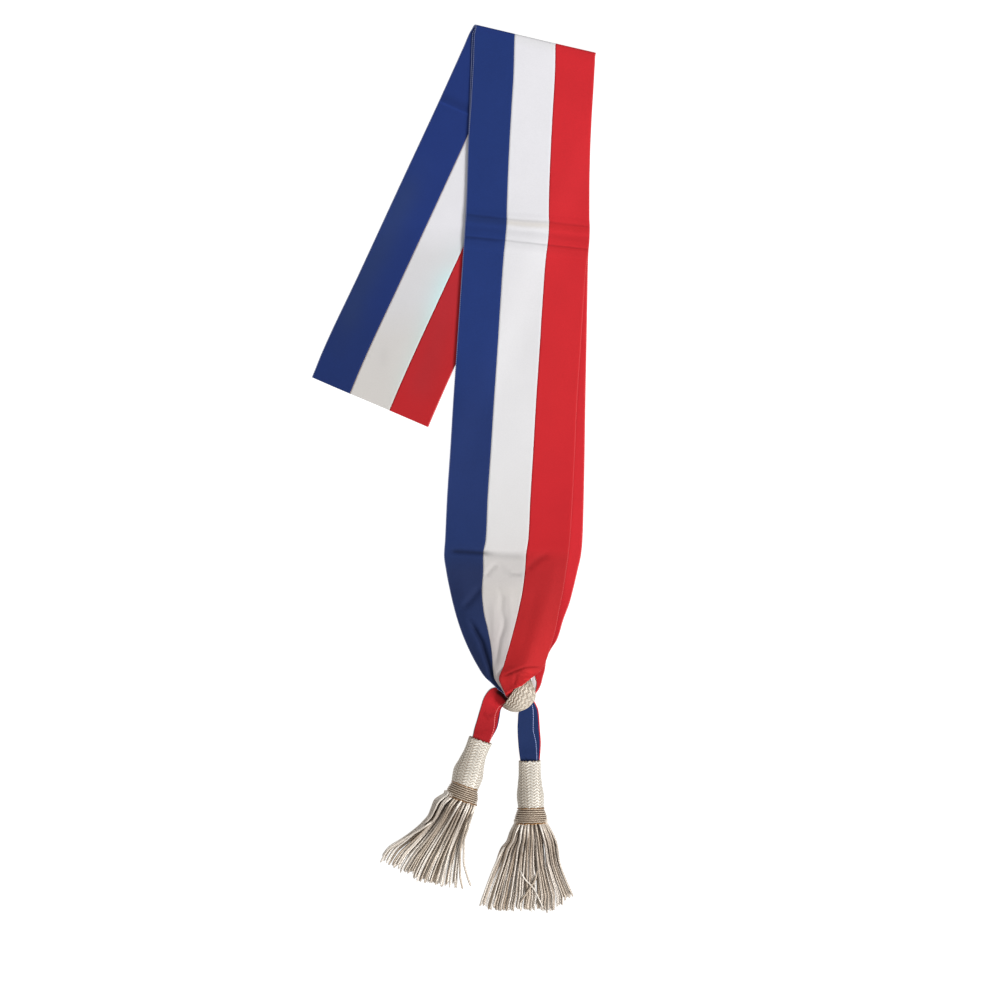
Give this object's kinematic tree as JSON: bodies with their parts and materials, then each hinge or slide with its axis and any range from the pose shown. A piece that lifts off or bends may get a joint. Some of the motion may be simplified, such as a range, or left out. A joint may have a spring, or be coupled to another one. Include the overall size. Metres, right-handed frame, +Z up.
{
  "type": "ceremonial waist sash",
  "caption": "Folded three-colour ribbon sash drawn through a domed slide ring, with bullion tassels on its two hanging ends.",
  "frame": {"origin": "bottom centre of the bounding box, on the surface on which the sash lies", "axes": "+X to the picture's right, +Y towards the fold at the top of the picture, +Z up from the surface towards the camera"},
  "size_m": [0.2302, 0.7234, 0.0258],
  "materials": {
    "blue_stripe": "Navy blue woven stripe, matt silky",
    "white_stripe": "Off-white woven stripe, matt silky",
    "red_stripe": "Red woven stripe, matt silky",
    "slide_ring": "Cream and silver ribbed braid",
    "left_sleeve": "Cream and silver chevron braid",
    "right_sleeve": "Cream and silver chevron braid",
    "left_collar": "Taupe silver wound cord",
    "right_collar": "Taupe silver wound cord",
    "left_fringe": "Silver taupe twisted bullion",
    "right_fringe": "Silver taupe twisted bullion"
  },
  "bodies": {
    "root": {"blue_stripe": "blue_stripe", "white_stripe": "white_stripe", "red_stripe": "red_stripe", "slide_ring": "slide_ring", "left_sleeve": "left_sleeve", "right_sleeve": "right_sleeve", "left_collar": "left_collar", "right_collar": "right_collar", "left_fringe": "left_fringe", "right_fringe": "right_fringe"}
  },
  "joints": []
}
